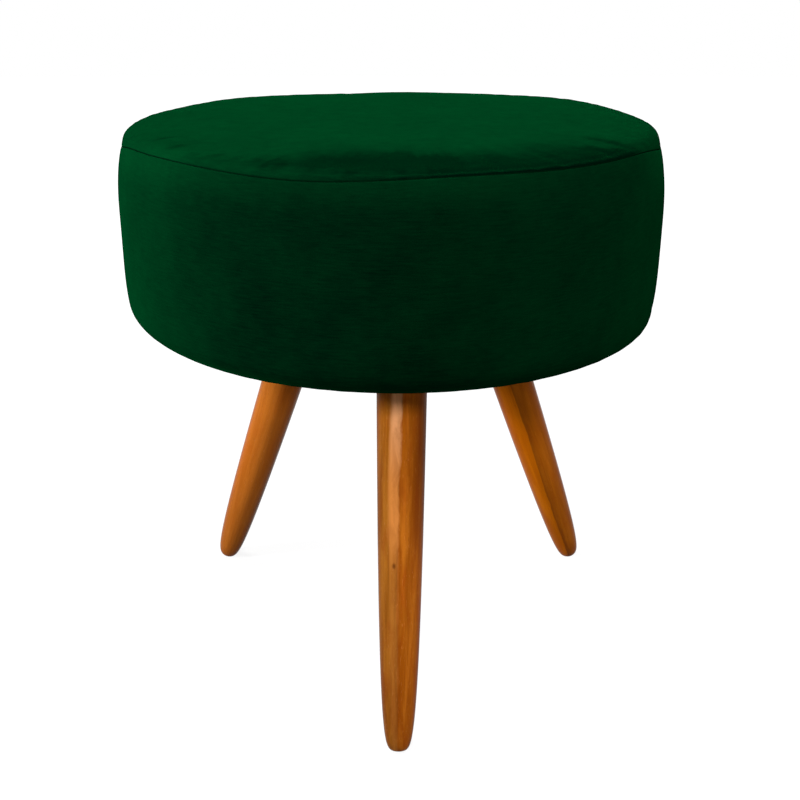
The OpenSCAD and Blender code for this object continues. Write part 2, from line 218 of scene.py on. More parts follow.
# The dust sheet: its rings, its uneven edge, its step over the end of the hem, and how it sags
# between there and the leg plates
DUST_SHARES = np.linspace(1, 0.02, 60)
DUST_RING_R = 0.086
DUST_WAVER = 0.002
DUST_EDGE = (20, 60, 8, 31)
DUST_STEP = (-0.009, -0.0015)
DUST_SAG_H = 0.0004
DUST_SAG_MEAN = 1.4
DUST_SAG = (0.03, 16, 32)
DUST_SAG_END = (0.155, 0.166)
PLATE_RING_R = 0.0795
PLATE_REACH = (0.036, 0.056)

# Sizes of the legs, in metres
LEG_L = 0.284
LEG_R = 0.0185
LEG_SPLAY = math.radians(21.2)
LEG_RING_R = 0.0845
LEG_TIP_Z = 0.0004
LEG_SEAT_Z = LEG_TIP_Z + LEG_L * math.cos(LEG_SPLAY)
LEG_POWER = 0.19
LEG_BEVEL = 0.001
LEG_TURN = 128
LEG_STEPS = 150
LEG_CROWDING = 1.6
LEG_AZ = {"front": -90, "right": 30, "left": 150}
BOLT_R = 0.004
BOLT_WOOD_L = 0.032
BOLT_TIP_L = 0.006
BORE_END_R = 0.00002
BORE_SLACK = 1.01
TIP_L = 1e-7

# How far the legs lean round the drum at their tops, as they do in the photo
LEG_LEAN = 0.0026

# Painted light and shade on a leg's two halves: where their border runs, and the tints beside it
LIGHT_SPLIT_AZ = {"front": -96, "right": -96}
LEFT_HALF_LIGHT_AND_SHADE = {"front": (1.0, 1.15, 2.3, 1), "right": (2.0, 1.85, 0.22, 1), "left": (1.75, 1.8, 4.2, 1)}
RIGHT_HALF_LIGHT_AND_SHADE = {"front": (1.8, 1.75, 2.6, 1), "right": (1.75, 1.65, 1.4, 1)}
LIGHT_SPLIT_WANDER = {"bend": 0.0030, "curl": 0.0040}

# A leg gets darker towards its tip, from this share of its length down
FOOT_SHARE = 0.45
FOOT_TINT = (0.6, 0.58, 0.5, 1)

# The lacquer is a little amber, so the wood looks darker through it at a slant
LACQUER_TINT = (0.8, 0.77, 0.74, 1)
LACQUER_IOR = 1.05

# How strongly the grain shows in each leg
GRAIN = {"front": 0.9, "right": 0.45, "left": 0.35}

# The front leg's pale stripe, figure and painted highlight: between these angles, down to this height
FIGURE_AND_HIGHLIGHT_AZ = (-31, -4)
FIGURE_AND_HIGHLIGHT_END_Z = -0.146
KNOT_PLACE = (0.0148, -0.0043, -0.1487)

# The camera, as fitted to the photograph
CAMERA_PLACE = (0, -0.8417, 0.5425)
CAMERA_PITCH = math.radians(22.38)
CAMERA_LENS = 50.68
CAMERA_SENSOR = 36
CAMERA_SHIFT = 0.0019

# The velvet's colours from 0 to 255, its sheen, and how strongly its clouds and fibres show
DEEP_GREEN = (0, 14, 7)
LIGHT_GREEN = (2, 78, 36)
SHEEN_GREEN = (0, 84, 37)
SHEEN = 0.32
CLOUD_DEPTH = 0.23
FIBRE_DEPTH = 0.2

# Noise in the wood: how much it is drawn out along the leg, scale, detail, roughness and distortion
WOOD_NOISE = {
    "bend": (0.5, 14, 1, 0.5), "layers": (0.06, 170, 3, 0.55, 0.6), "streaks": (0.02, 900, 2, 0.6),
    "curl": (0.3, 120, 4, 0.65, 0.4), "flecks": (0.12, 2000, 1, 0.5), "pores": (0.16, 1500, 2, 0.6),
}

# Tones over the wood's bands: the noise, the levels between which it sets in, its strength, whether
# that goes with the strength of the leg's grain, and its colour
WOOD_TONES = [
    ("bend", 0.4, 0.65, 0.4, False, (166, 84, 4)),
    ("curl", 0.42, 0.7, 0.55, True, (150, 66, 6)),
    ("streaks", 0.45, 0.75, 0.3, True, (122, 60, 8)),
    ("flecks", 0.64, 0.76, 0.5, True, (196, 126, 50)),
    ("pores", 0.64, 0.74, 0.45, False, (104, 50, 8)),
]

# Lamps: direction and height in degrees, distance and size in metres, and level. At level 1 a
# surface that faces the lamp shows its own colour.
LAMPS = {
    "key": (145, 42, 4, 1.5, 0.5),
    "low": (-166, 18, 2.2, 0.25, 0.9),
    "fill": (-20, 50, 2.2, 1.0, 0.5),
    "front": (-104, 27.5, 2.2, 0.25, 0.42),
}
LAMP_TARGET = (0, 0, 0.25)
AMBIENT = 0.2

# The floor: half its width, its own tone, and how it glows from near the object to far off
FLOOR_HALF = 4
FLOOR_TONE = (0.2, 0.2, 0.2, 1)
FLOOR_GLOW = (0.86, 1)
GLOW_REACH = (0.3, 1.3)

# Points in a full ring, the fewest in any and those round a pad, and steps of the meshes in metres
TURN = 768
FEWEST = 12
PAD_TURN = 192
SEAM_STEP = 0.00025
TOP_STEP = 0.0024
SIDE_STEP = 0.0021
STEP_GROWTH = 1.22
FINE_W = 0.1
MIDDLE_STEP = 0.0028
FULL_RING_R = 0.095

# Rings on the inner faces of the cover as shares of the way to the seam or from it, and rings of the
# folded edges as (inset, share of their length)
TOP_UNDER_SHARES = [0.975, 0.965, 0.94, 0.9, 0.8, 0.65, 0.49, 0.33, 0.24, 0.15, 0.1, 0.05, 0.025]
SIDE_UNDER_SHARES = [1, 0.96, 0.92, 0.86, 0.82, 0.78, 0.74, 0.7, 0.6, 0.5, 0.4, 0.3, 0.2, 0.1]
TOP_FOLD = [(0, 0.5), (0, 1), (COVER_T, 1), (COVER_T, 0.45)]
SIDE_FOLD = [(COVER_T, 0.6), (COVER_T, 1), (0, 1), (0, 0.5)]

# The pads: rings of the seat pad as shares of its radius and its gap to the wrap, and where the
# wrap starts below the seam and ends before the hem, which is among the outline's last points
PAD_LOW_SHARES = [0.1, 0.3, 0.5, 0.7, 0.9, 0.999]
PAD_TOP_SHARES = [0.999, 0.97, 0.93, 0.88, 0.8, 0.7, 0.6, 0.5, 0.4, 0.3, 0.2, 0.1]
PAD_GAP = 0.0002
WRAP_START = 0.0105
WRAP_END = 0.0008
WRAP_SEARCH = 301
WRAP_RINGS = 40
LIP_INSET = COVER_T + 4 * SOFT_GAP
LIP_DROPS = (0.4, 1.2)


def smooth_step(low, high, x):
    """0 up to low, 1 from high on, and a smooth step between them."""
    t = np.clip((x - low) / (high - low), 0, 1)
    return t * t * (3 - 2 * t)


def waves(points, length, count, seed):
    """Smooth noise of about -1 to 1 with waves of about that length, at points in space."""
    random = np.random.default_rng(seed)
    direction = random.normal(size=(count, 3))
    direction /= np.linalg.norm(direction, axis=1)[:, None]
    pace = 2 * math.pi / (length * random.uniform(0.7, 1.5, count))
    phase = random.uniform(0, 2 * math.pi, count)
    total = np.zeros(points.shape[:-1])
    for k in range(count):
        total += np.cos(points @ (direction[k] * pace[k]) + phase[k])
    return total / math.sqrt(count)


def puckers(az, low, high, count, seed):
    """Noise of about -1 to 1 round the drum, with low to high waves in a turn."""
    random = np.random.default_rng(seed)
    total = np.zeros(az.shape)
    for _ in range(count):
        total += np.cos(random.integers(low, high) * az + random.uniform(0, 2 * math.pi))
    return total / math.sqrt(count)


def resampled(line, step):
    """A line of points again, with points about step apart."""
    along = np.concatenate([[0], np.cumsum(np.linalg.norm(np.diff(line, axis=0), axis=1))])
    at = np.arange(0, along[-1], step)
    return np.stack([np.interp(at, along, line[:, k]) for k in range(line.shape[1])], axis=1)


def cover_outline(step):
    """The drum's outline, as points (radius, height): from the middle of the top, over the edge,
    down the side, round the bottom corner and along the hem."""
    belly_z = HEM_Z + BELLY_H
    corner_r = DRUM_R - WAIST_IN - HEM_START_R
    edge_z = CORNER_Z + SEAM_DIP
    seam_r = DRUM_R - SEAM_IN
    side_top = np.linspace(edge_z, belly_z, SIDE_POINTS)
    drawn_in = (SEAM_IN - SEAM_DIP) * ((side_top - belly_z) / (CORNER_Z - belly_z)) ** SHOULDER_POWER
    shoulder = np.stack([DRUM_R - drawn_in, side_top], axis=1)
    r = np.linspace(0, shoulder[0, 0], CROWN_POINTS)[:-1]
    crown = np.stack([r, edge_z + CROWN_H * (1 - (r / seam_r) ** CROWN_POWER)], axis=1)
    low = np.linspace(belly_z, HEM_Z + corner_r, SIDE_POINTS)[1:-1]
    waist_share = (belly_z - low) / (belly_z - HEM_Z - corner_r)
    waist = np.stack([DRUM_R - WAIST_IN * waist_share ** WAIST_POWER, low], axis=1)
    a = np.linspace(0, math.pi / 2, CORNER_POINTS)
    corner = np.stack([
        HEM_START_R + corner_r * np.abs(np.cos(a)) ** (2 / CORNER_POWER),
        HEM_Z + corner_r * (1 - np.abs(np.sin(a)) ** (2 / CORNER_POWER)),
    ], axis=1)
    hem_r = np.linspace(HEM_START_R, HEM_R, HEM_POINTS)[1:]
    hem = np.stack([hem_r, np.full(hem_r.shape, HEM_Z)], axis=1)
    line = resampled(np.concatenate([crown, shoulder, waist, corner, hem]), step)
    return blurred(line, EDGE_BLUR / step)


def blurred(line, width):
    """A line whose corners are rounded over a number of its points."""
    reach = int(4 * width)
    kernel = np.exp(-0.5 * (np.arange(-reach, reach + 1) / width) ** 2)
    kernel /= kernel.sum()
    before = line[0] + (line[0] - line[1:reach + 1][::-1])
    after = line[-1] + (line[-1] - line[-reach - 1:-1][::-1])
    padded = np.concatenate([before, line, after])
    out = [np.convolve(padded[:, k], kernel, "valid") for k in range(2)]
    return np.stack(out, axis=1)


OUTLINE = cover_outline(OUTLINE_STEP)
OUTLINE_S = np.concatenate([[0], np.cumsum(np.linalg.norm(np.diff(OUTLINE, axis=0), axis=1))])
RUN = np.gradient(OUTLINE, axis=0)
OUTLINE_OUT = np.stack([-RUN[:, 1], RUN[:, 0]], axis=1) / np.linalg.norm(RUN, axis=1)[:, None]


def at_outline(s):
    """Radius and height of the outline at the distances s along it."""
    return [np.interp(s, OUTLINE_S, OUTLINE[:, k]) for k in range(2)]


def out_of_outline(s):
    """The outline's outward direction at the distances s along it."""
    return [np.interp(s, OUTLINE_S, OUTLINE_OUT[:, k]) for k in range(2)]


def bends(az, table):
    """The sum of the bends of a table, round the drum."""
    total = np.zeros(np.shape(az))
    for middle, rise, before, after in table:
        turned = (az - math.radians(middle) + math.pi) % (2 * math.pi) - math.pi
        total += rise * np.exp(-(turned / np.radians(np.where(turned < 0, before, after))) ** 2)
    return total


def side_s(z):
    """Distance along the outline at which the upper side has the height z."""
    side = OUTLINE[:, 1] > HEM_Z + BELLY_H
    return np.interp(-z, -OUTLINE[side, 1], OUTLINE_S[side])


def seam_s(az):
    """Distance along the outline at which the seam lies, round the drum."""
    return side_s(SEAM_MEAN_Z + bends(az, SEAM_BENDS))


def groove(away):
    """How far the cover is drawn in, at a distance from the seam."""
    crease = np.clip(1 - away / CREASE_W, 0, 1) ** 2
    return -(SEAM_GROOVE - SEAM_PULL) * crease - SEAM_PULL * np.exp(-away / PULL_W)


def angle_from(az, degrees):
    """Angle from a direction, in radians, without a sign."""
    return np.abs((az - math.radians(degrees) + math.pi) % (2 * math.pi) - math.pi)


def above_hem(z, low, high):
    """0 up to low over the hem, 1 from high on, and a smooth step between them."""
    return smooth_step(HEM_Z + low, HEM_Z + high, z)


def ring(n):
    """The directions of n points round a ring."""
    return np.arange(n) * 2 * math.pi / n


def upright(az, r, z):
    """Points at azimuth az, radius r and height z."""
    return np.stack(np.broadcast_arrays(r * np.cos(az), r * np.sin(az), z), -1)


def round_drum(az, r, z):
    """Such points where the upholstery, which is shifted on its frame, has them."""
    points = upright(az, r, z)
    share = above_hem(points[..., 2], *SHIFT_RISE) * (1 - smooth_step(*SHIFT_FADE, points[..., 1]))
    points[..., 0] += BODY_SHIFT * share
    return points


def on_drum(az, s, out):
    """Points on the drum: at azimuth az, at distance s along the outline, moved out by out."""
    r, z = at_outline(s)
    dr, dz = out_of_outline(s)
    lift = bends(az, EDGE_BENDS) * smooth_step(*LIFT_R, r) * smooth_step(*LIFT_Z, z)
    return round_drum(az, r + dr * out, z + dz * out + lift)


def seam_bed(az, inset, drop):
    """Points on the folded edges behind the seam: inset from it and below it."""
    r, z = at_outline(seam_s(az))
    dr, dz = out_of_outline(seam_s(az))
    z = z - dz * SEAM_GROOVE + bends(az, EDGE_BENDS)
    return round_drum(az, r - dr * SEAM_GROOVE - inset, z - drop * FLAP_L)


def mesh_object(name, points, faces, smooth=True, slots=None):
    mesh = bpy.data.meshes.new(name)
    mesh.from_pydata([tuple(p) for p in points], [], faces)
    if slots:
        mesh.polygons.foreach_set("material_index", slots)
    mesh.validate()
    mesh.polygons.foreach_set("use_smooth", [smooth] * len(mesh.polygons))
    mesh.update()
    thing = bpy.data.objects.new(name, mesh)
    bpy.context.scene.collection.objects.link(thing)
    return thing


class Rings:
    """A mesh made of rings of points, where a ring may have half the points of the one before."""

    def __init__(self):
        self.points = []
        self.faces = []
        self.rings = []
        self.slots = []

    def add(self, points, slot=0):
        """Adds a ring. The faces up to it from the ring before get a material slot."""
        start = len(self.points)
        self.points.extend(points)
        self.rings.append((start, len(points)))
        if len(self.rings) > 1:
            self.join(self.rings[-2], self.rings[-1])
        self.fill_slots(slot)

    def fill_slots(self, slot=0):
        self.slots += [slot] * (len(self.faces) - len(self.slots))

    def join(self, one, other):
        (a, n), (b, m) = one, other
        if n == m:
            self.faces += [(a + i, a + (i + 1) % n, b + (i + 1) % m, b + i) for i in range(n)]
        elif n == 2 * m:
            for i in range(m):
                p, q, r = a + 2 * i, a + 2 * i + 1, a + (2 * i + 2) % n
                self.faces += [(p, q, b + i), (q, r, b + (i + 1) % m, b + i)]
        elif m == 2 * n:
            for i in range(n):
                p, q, r = b + 2 * i, b + 2 * i + 1, b + (2 * i + 2) % m
                self.faces += [(a + i, q, p), (a + i, a + (i + 1) % n, r, q)]
        else:
            raise ValueError("a ring has as many points as the last, half of them or twice as many")

    def close(self):
        """Joins the last ring to the first."""
        self.join(self.rings[-1], self.rings[0])
        self.fill_slots(1)

    def turn_out(self):
        """Turns every face the other way round."""
        self.faces = [face[::-1] for face in self.faces]

    def cap(self, point, which, flip):
        """Closes one end with a fan to a point."""
        start, n = self.rings[which]
        middle = len(self.points)
        self.points.append(point)
        for i in range(n):
            face = (start + i, start + (i + 1) % n, middle)
            self.faces.append(face[::-1] if flip else face)
        self.fill_slots()


def front_share(az):
    """1 along the front of the rim, where the cover is pulled down most, and less elsewhere."""
    along = angle_from(az, PULL_AZ) / math.radians(PULL_SPAN)
    return 1 - smooth_step(*PULL_FADE, along)


def front_weight(az, elsewhere):
    """1 along the front of the rim, and the given share at the back."""
    return elsewhere + (1 - elsewhere) * front_share(az)


def make_rim_strip(az):
    """The strip of cloth that is simulated: rings from the seam inwards, held at both edges."""
    n = len(az)
    relief = START_RELIEF_H * puckers(az, *START_RELIEF)
    placed = [on_drum(az, seam_s(az) - away, relief) for away in SETTLE_AT]
    cut = [on_drum(az, seam_s(az) - away, 0) for away in SETTLE_AT]
    for points, away in zip(cut, SETTLE_AT):
        points[:, :2] *= 1 + SPARE * (1 - away / SETTLE_W) ** SPARE_POWER
    faces = [(k * n + i, k * n + (i + 1) % n, (k + 1) * n + (i + 1) % n, (k + 1) * n + i)
             for k in range(SETTLE_RINGS - 1) for i in range(n)]
    strip = mesh_object("rim_strip", np.concatenate(placed), faces)
    strip.shape_key_add(name="placed")
    pattern = strip.shape_key_add(name="cut")
    pattern.data.foreach_set("co", np.concatenate(cut).ravel())
    held = strip.vertex_groups.new(name="held")
    held.add(list(range(n)) + list(range((SETTLE_RINGS - 1) * n, SETTLE_RINGS * n)), 1, "REPLACE")
    modifier = strip.modifiers.new("cloth", "CLOTH")
    cloth = modifier.settings
    cloth.rest_shape_key = pattern
    cloth.vertex_group_mass = "held"
    cloth.effector_weights.gravity = 0
    for name, value in CLOTH.items():
        setattr(cloth, name, value)
    modifier.point_cache.frame_start = 1
    modifier.point_cache.frame_end = SETTLE_FRAMES
    return strip


def settle_rim():
    """A cloth simulation of the top panel's rim. The panel is cut a little wider than its place, so
    that it puckers along the seam that holds it, and the pad presses from below. Gives how far the
    cloth stands out, on a grid of rings from the seam inwards and of directions."""
    az = ring(SETTLE_TURN)
    strip = make_rim_strip(az)
    for number in range(1, SETTLE_FRAMES + 1):
        bpy.context.scene.frame_set(number)
    done = strip.evaluated_get(bpy.context.evaluated_depsgraph_get())
    moved = points_of(done.data).astype(float).reshape(SETTLE_RINGS, SETTLE_TURN, 3)
    bpy.data.objects.remove(strip)
    bpy.context.scene.frame_set(1)
    out = []
    for points, away in zip(moved, SETTLE_AT):
        dr, dz = out_of_outline(seam_s(az) - away)
        step = points - on_drum(az, seam_s(az) - away, 0)
        out.append(step[:, 0] * dr * np.cos(az) + step[:, 1] * dr * np.sin(az) + step[:, 2] * dz)
    out = np.array(out)
    out -= out.mean(axis=1)[:, None]
    return SETTLE_CAP * np.tanh(out / SETTLE_CAP)


def settled(az, away):
    """How far the simulated rim stands out, at a direction and a distance from the seam."""
    row, column = np.broadcast_arrays(np.interp(away, SETTLE_AT, np.arange(SETTLE_RINGS)),
                                      (az / (2 * math.pi) % 1) * SETTLE_TURN)
    k = np.clip(row.astype(int), 0, SETTLE_RINGS - 2)
    i = column.astype(int)
    v, u = row - k, column - i
    i, j = i % SETTLE_TURN, (i + 1) % SETTLE_TURN
    near = (1 - u) * SETTLED[k, i] + u * SETTLED[k, j]
    far = (1 - u) * SETTLED[k + 1, i] + u * SETTLED[k + 1, j]
    return (1 - v) * near + v * far


def fine_puckers(az, away, height, width, noise):
    """Puckers that the stitches make, at a distance from the seam."""
    return height * puckers(az, *noise) * np.exp(-away / width) * smooth_step(0, PUCKER_START, away)


def top_displacement(az, s, away):
    """How far the top panel stands out of the outline."""
    place = on_drum(az, s, 0)
    out = SWELL_H * waves(place, *TOP_SWELL) * smooth_step(0, SWELL_START, away)
    out += fine_puckers(az, away, *TOP_PUCKERS)
    pleats = puckers(az, *PLEATS) * np.exp(-away / PLEAT_L) * smooth_step(*PLEAT_START, away)
    out += PLEAT_H * pleats * front_weight(az, BACK_PLEATS)
    inner = 1 - smooth_step(SETTLE_W * SETTLE_FADE, SETTLE_W, away)
    out += settled(az, away) * inner * front_weight(az, BACK_SETTLED)
    drop = smooth_step(0, RIM_START, away) * np.clip(1 - away / RIM_W, 0, 1) ** 2
    return out - RIM_DROP * drop * front_share(az) + groove(away)


def band_displacement(az, s, away):
    """How far the side band stands out of the outline."""
    place = on_drum(az, s, 0)
    r, z = at_outline(s)
    side = above_hem(z, *SIDE_RISE)
    out = SWELL_H * waves(place, *SIDE_SWELL) * side * smooth_step(0, SWELL_START, away)
    out += fine_puckers(az, away, *SIDE_PUCKERS)
    under = smooth_step(HEM_R + HEM_PUCKER_IN, HEM_START_R, r) * (1 - above_hem(z, *HEM_PUCKER_RISE))
    out += HEM_PUCKER_H * puckers(az, *HEM_PUCKERS) * under
    out -= JOINT_H * np.exp(-0.5 * (angle_from(az, JOINT_AZ) * DRUM_R / JOINT_W) ** 2) * side
    return out + groove(away)


def near_seam_steps(coarse, length):
    """Distances from the seam, up to length: fine steps first, growing to coarse ones."""
    at = [0.0]
    step = SEAM_STEP
    while at[-1] + step < length:
        at.append(at[-1] + step)
        step = min(coarse, step * STEP_GROWTH)
    return np.array(at + [length])


def half_rings(length, full):
    """Points in a ring of that radius: halved each time the radius halves."""
    n = TURN
    while length < full and n > FEWEST:
        n //= 2
        full /= 2
    return n


def panel_ring(share, full):
    """A ring of the top panel: directions, and distances from the middle and from the seam."""
    az = ring(half_rings(share * full, FULL_RING_R))
    s = share * seam_s(az)
    return az, s, seam_s(az) - s


def make_top_panel():
    """The top panel: its upper face, the edge folded down inside the seam, and its lower face."""
    rings = Rings()
    full = seam_s(ring(TURN)).min()
    inner = full - FINE_W
    count = int(inner / MIDDLE_STEP)
    steps = near_seam_steps(TOP_STEP, FINE_W)
    for share in [inner * k / count / full for k in range(1, count)] + list(1 - steps[::-1] / full):
        az, s, away = panel_ring(share, full)
        # Faces beside the seam get the painted seam shade
        slot = 1 if (1 - share) * full < SEAM_SHADE_W else 0
        rings.add(on_drum(az, s, top_displacement(az, s, away)), slot)
    az = ring(TURN)
    for inset, drop in TOP_FOLD:
        rings.add(seam_bed(az, inset + FLAP_GAP, drop), 1)
    for share in TOP_UNDER_SHARES:
        az, s, away = panel_ring(share, full)
        rings.add(on_drum(az, s, top_displacement(az, s, away) - COVER_T))
    middle = on_drum(np.zeros(1), np.zeros(1), 0)[0]
    rings.cap(middle, 0, True)
    rings.cap(middle - np.array([0, 0, COVER_T]), -1, False)
    rings.turn_out()
    return mesh_object("top_panel", rings.points, rings.faces, True, rings.slots)


def make_side_panel():
    """The side band: its outer face down to the hem, its inner face and its folded upper edge."""
    rings = Rings()
    az = ring(TURN)
    start = seam_s(az)
    length = OUTLINE_S[-1] - start.min()
    for away in near_seam_steps(SIDE_STEP, length):
        share = away / length
        s = start + share * (OUTLINE_S[-1] - start)
        # Faces beside the seam get the painted seam shade
        slot = 1 if away <= SEAM_SHADE_W else 0
        rings.add(on_drum(az, s, band_displacement(az, s, s - start)), slot)
    for share in SIDE_UNDER_SHARES:
        s = start + share * (OUTLINE_S[-1] - start)
        rings.add(on_drum(az, s, band_displacement(az, s, s - start) - COVER_T))
    for inset, drop in SIDE_FOLD:
        rings.add(seam_bed(az, -inset - FLAP_GAP, drop), 1)
    rings.close()
    rings.turn_out()
    return mesh_object("side_panel", rings.points, rings.faces, True, rings.slots)


def points_of(mesh):
    """The points of a mesh, as rows of x, y and z."""
    place = np.empty(len(mesh.vertices) * 3, np.float32)
    mesh.vertices.foreach_get("co", place)
    return place.reshape(-1, 3)


def set_nap_painted_light_and_shade(mesh, nap_painted_light_and_shade):
    """Keeps the pile's level at each point, with painted light and shade in it: 0 looks deep and 1 looks
    light.
    """
    mesh.attributes.new("nap_painted_light_and_shade", "FLOAT", "POINT").data.foreach_set("value", nap_painted_light_and_shade.astype(np.float32))


def paint_top_shade_and_light(mesh):
    """Painted shade and light on the top panel: a dark zone along the front rim with dark strokes in it,
    and shade and light beside the seam.
    """
    place = points_of(mesh)
    x, y = place[:, 0] - BODY_SHIFT, place[:, 1]
    az = np.arctan2(y, x)
    away = DRUM_R - SEAM_IN - np.hypot(x, y)
    # Painted shade: the dark zone along the front rim, with a frayed edge
    fray = away
    for reach, noise in FRAYS:
        fray = fray + reach * puckers(az, *noise)
    along = angle_from(az, SHADE_AZ) / math.radians(SHADE_SPAN)
    share = 1 - smooth_step(*SHADE_FADE, along)
    shade = 1 - smooth_step(SHADE_W * SHADE_CORE, SHADE_W, fray / np.maximum(share, LEAST_SHADE))
    nap_painted_light_and_shade = TOP_NAP_WITH_PAINTED_LIGHT - FRONT_SHADE * shade * smooth_step(0, SHADE_ENDS, share)
    # Painted shade beside the seam at the front right, and painted light beside it at the front left
    nap_painted_light_and_shade -= bends(az, RIM_SHADE_AND_LIGHT) * np.exp(-(away / RIM_SHADE_AND_LIGHT_W) ** 2)
    # Painted shade: dark strokes along the rim
    for stroke_az, middle, half_w, half_l, depth in PAINTED_SHADE_STROKES:
        across = angle_from(az, stroke_az) * DRUM_R
        shape = np.exp(-0.5 * (across / half_w) ** 2 - 0.5 * ((away - middle) / half_l) ** 2)
        nap_painted_light_and_shade -= depth * shape * (1 + PAINTED_SHADE_BREAK * puckers(az, *PAINTED_SHADE_BREAKS))
    set_nap_painted_light_and_shade(mesh, nap_painted_light_and_shade)


def paint_side_light_and_shade(mesh):
    """Painted light and shade on the side band, over the level of its pile."""
    place = points_of(mesh)
    x, y, z = place[:, 0] - BODY_SHIFT, place[:, 1], place[:, 2]
    az = np.arctan2(y, x)
    nap_painted_light_and_shade = np.full(len(place), SIDE_NAP)
    # Painted light: lighter patches round the band
    for light, middle, start, end, heights in SIDE_PAINTED_LIGHT:
        patch = 1 - smooth_step(start, end, angle_from(az, middle))
        nap_painted_light_and_shade += light * (smooth_step(*heights, z) if heights else 1) * patch
    # Painted shade: darker towards the hem
    nap_painted_light_and_shade -= HEM_SHADE * (1 - smooth_step(HEM_Z, HEM_Z + HEM_SHADE_H, z))
    set_nap_painted_light_and_shade(mesh, nap_painted_light_and_shade)


def make_seat_pad():
    """The seat foam: a thick crowned disc on the seat board."""
    rings = Rings()
    az = ring(PAD_TURN)
    radius = HEM_START_R - PAD_GAP
    for share in PAD_LOW_SHARES:
        rings.add(upright(az, share * radius, SEAT_BOARD_TOP_Z))
    for share in PAD_TOP_SHARES:
        s = np.full(az.shape, share * radius)
        cover = on_drum(az, s, top_displacement(az, s, seam_s(az) - s) - COVER_T - 2 * SOFT_GAP)
        rings.add(upright(az, share * radius, cover[:, 2]))
    rings.cap(np.array([0, 0, SEAT_BOARD_TOP_Z]), 0, True)
    rings.cap(on_drum(np.zeros(1), np.zeros(1), -COVER_T - SOFT_GAP)[0], -1, False)
    return mesh_object("seat_pad", rings.points, rings.faces)


def make_side_pad():
    """The foam wrap: round the wall, under the band, with a lip behind the seam."""
    rings = Rings()
    az = ring(PAD_TURN)
    hem = slice(-1, -WRAP_SEARCH, -1)
    end_s = np.interp(HEM_START_R + WRAP_END, OUTLINE[hem, 0], OUTLINE_S[hem])
    for s_value in np.linspace(side_s(SEAM_MEAN_Z - WRAP_START), end_s, WRAP_RINGS):
        s = np.full(az.shape, s_value)
        rings.add(on_drum(az, s, band_displacement(az, s, s - seam_s(az)) - COVER_T - SOFT_GAP))
    lip, lip_low = (seam_bed(az, LIP_INSET, drop) for drop in LIP_DROPS)
    bottom = at_outline(end_s)[1] + COVER_T + SOFT_GAP
    middle_z = (bottom + lip[:, 2].min()) / 2
    for height in (bottom, middle_z, lip[:, 2]):
        rings.add(upright(az, HEM_START_R, height))
    rings.add(lip)
    rings.add(lip_low)
    rings.close()
    rings.turn_out()
    return mesh_object("side_pad", rings.points, rings.faces)


def dust_sag(x, y, r):
    """How far the dust sheet stands off the board: least at its edge and beside the leg plates."""
    sag = DUST_SAG_H * (waves(np.stack([x, y, 0 * x], -1), *DUST_SAG) - DUST_SAG_MEAN)
    sag *= 1 - smooth_step(*DUST_SAG_END, r)
    for leg_az in LEG_AZ.values():
        plate_x = PLATE_RING_R * math.cos(math.radians(leg_az))
        plate_y = PLATE_RING_R * math.sin(math.radians(leg_az))
        sag *= smooth_step(*PLATE_REACH, np.hypot(x - plate_x, y - plate_y))
    return sag


def make_dust_sheet():
    """The nonwoven sheet under the base: flat on the board in the middle, over the hem at its edge."""
    rings = Rings()
    for layer in (0, DUST_T):
        for share in (DUST_SHARES[::-1] if layer == 0 else DUST_SHARES):
            az = ring(half_rings(share * DUST_R, DUST_RING_R) // 2)
            waver = 1 + DUST_WAVER * puckers(az, *DUST_EDGE) * (share == 1)
            r = np.full(az.shape, share * DUST_R) * waver
            step = smooth_step(HEM_R + DUST_STEP[0], HEM_R + DUST_STEP[1], r)
            low = BOARD_Z - step * (BOARD_Z - HEM_Z)
            x, y = r * np.cos(az), r * np.sin(az)
            rings.add(np.stack([x, y, low - DUST_T + layer + dust_sag(x, y, r)], -1))
    rings.cap(rings.points[0] * (0, 0, 1), 0, True)
    rings.cap(rings.points[0] * (0, 0, 1) + (0, 0, DUST_T), -1, False)
    return mesh_object("dust_sheet", rings.points, rings.faces)


def leg_radius(s):
    """Radius of a leg at a distance from its tip."""
    return LEG_R * (np.maximum(s, 0) / LEG_L) ** LEG_POWER


def to_leg(az):
    """The place of a leg: its origin is on the seat of its plate, and +Z runs up along the leg."""
    return (Matrix.Rotation(math.radians(az), 4, "Z")
            @ Matrix.Translation((LEG_RING_R, 0, LEG_SEAT_Z))
            @ Matrix.Rotation(-LEG_SPLAY, 4, "Y"))


def leg_outline():
    """Points (radius, place along the leg): out of its bore, over its top and down to its tip."""
    outline = [(BORE_END_R, -BOLT_WOOD_L), (BOLT_R, -BOLT_WOOD_L + BOLT_TIP_L), (BOLT_R, 0),
               (LEG_R - LEG_BEVEL, 0)]
    for share in np.linspace(1, 0, LEG_STEPS)[:-1] ** LEG_CROWDING:
        from_tip = (LEG_L - LEG_BEVEL) * share
        outline.append((leg_radius(from_tip), from_tip - LEG_L))
    return outline + [(leg_radius(TIP_L), -LEG_L)]


def trim_at_floor(mesh):
    """Cuts off what lies below the floor, and closes the cut."""
    cutter = bmesh.new()
    cutter.from_mesh(mesh)
    cut = bmesh.ops.bisect_plane(cutter, geom=cutter.verts[:] + cutter.edges[:] + cutter.faces[:],
                                 plane_co=(0, 0, 0), plane_no=(0, 0, -1), clear_outer=True)
    rim = [e for e in cut["geom_cut"] if isinstance(e, bmesh.types.BMEdge)]
    bmesh.ops.contextual_create(cutter, geom=rim)
    bmesh.ops.recalc_face_normals(cutter, faces=cutter.faces[:])
    cutter.to_mesh(mesh)
    cutter.free()
    mesh.update()


